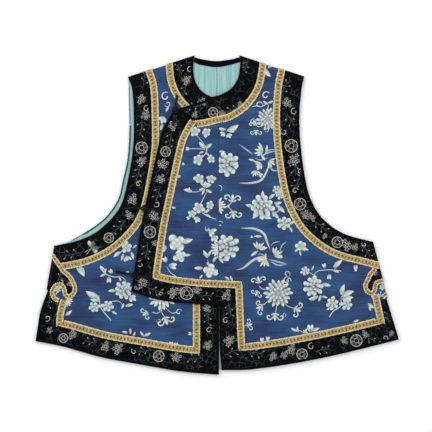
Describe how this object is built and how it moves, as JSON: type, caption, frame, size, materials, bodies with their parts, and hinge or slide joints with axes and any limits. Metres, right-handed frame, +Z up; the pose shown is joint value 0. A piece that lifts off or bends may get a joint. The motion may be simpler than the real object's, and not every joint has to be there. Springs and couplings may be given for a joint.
{
  "type": "waistcoat",
  "caption": "Sleeveless silk waistcoat laid flat, with a curved asymmetric overlap, broad bordered edges, side slits and cloth knot closures.",
  "frame": {"origin": "centre of the bounding box, on the surface the waistcoat lies on", "axes": "+X to the wearer's left, across the hem; +Y up the garment, from hem to neck; +Z up from the surface, out of the front"},
  "size_m": [0.7438, 0.6542, 0.017],
  "materials": {
    "blue_silk": "satin",
    "lining_silk": "satin",
    "black_satin": "satin",
    "gold_ribbon": "satin"
  },
  "bodies": {
    "root": {"back_armhole_binding": "black_satin", "back_left_panel": "blue_silk", "back_lining_left": "lining_silk", "back_lining_right": "lining_silk", "back_neck_facing": "black_satin", "back_right_panel": "blue_silk", "bottom_knot": "black_satin", "bottom_loop": "black_satin", "bottom_stem": "black_satin", "front_left_panel": "blue_silk", "front_overlap_panel": "blue_silk", "front_right_panel": "blue_silk", "left_armhole_band": "black_satin", "left_armhole_binding": "black_satin", "left_armhole_ribbon": "gold_ribbon", "left_centre_band": "black_satin", "left_centre_ribbon": "gold_ribbon", "left_edge_binding": "black_satin", "left_hem_band": "black_satin", "left_hem_ribbon": "gold_ribbon", "left_neck_band": "black_satin", "left_neck_ribbon": "gold_ribbon", "left_overlap_edge_band": "black_satin", "left_overlap_edge_ribbon": "gold_ribbon", "left_overlap_hem_band": "black_satin", "left_overlap_hem_ribbon": "gold_ribbon", "left_scroll_lower": "gold_ribbon", "left_scroll_upper": "gold_ribbon", "left_side_band": "black_satin", "left_side_ribbon": "gold_ribbon", "left_side_top_band": "black_satin", "middle_knot": "black_satin", "middle_loop": "black_satin", "middle_stem": "black_satin", "right_armhole_band": "black_satin", "right_armhole_binding": "black_satin", "right_armhole_ribbon": "gold_ribbon", "right_centre_band": "black_satin", "right_centre_ribbon": "gold_ribbon", "right_edge_binding": "black_satin", "right_hem_band": "black_satin", "right_hem_ribbon": "gold_ribbon", "right_neck_band": "black_satin", "right_neck_binding": "black_satin", "right_neck_ribbon": "gold_ribbon", "right_scroll": "gold_ribbon", "right_side_band": "black_satin", "right_side_ribbon": "gold_ribbon", "top_knot": "black_satin", "top_loop": "black_satin", "top_stem": "black_satin"}
  },
  "joints": []
}
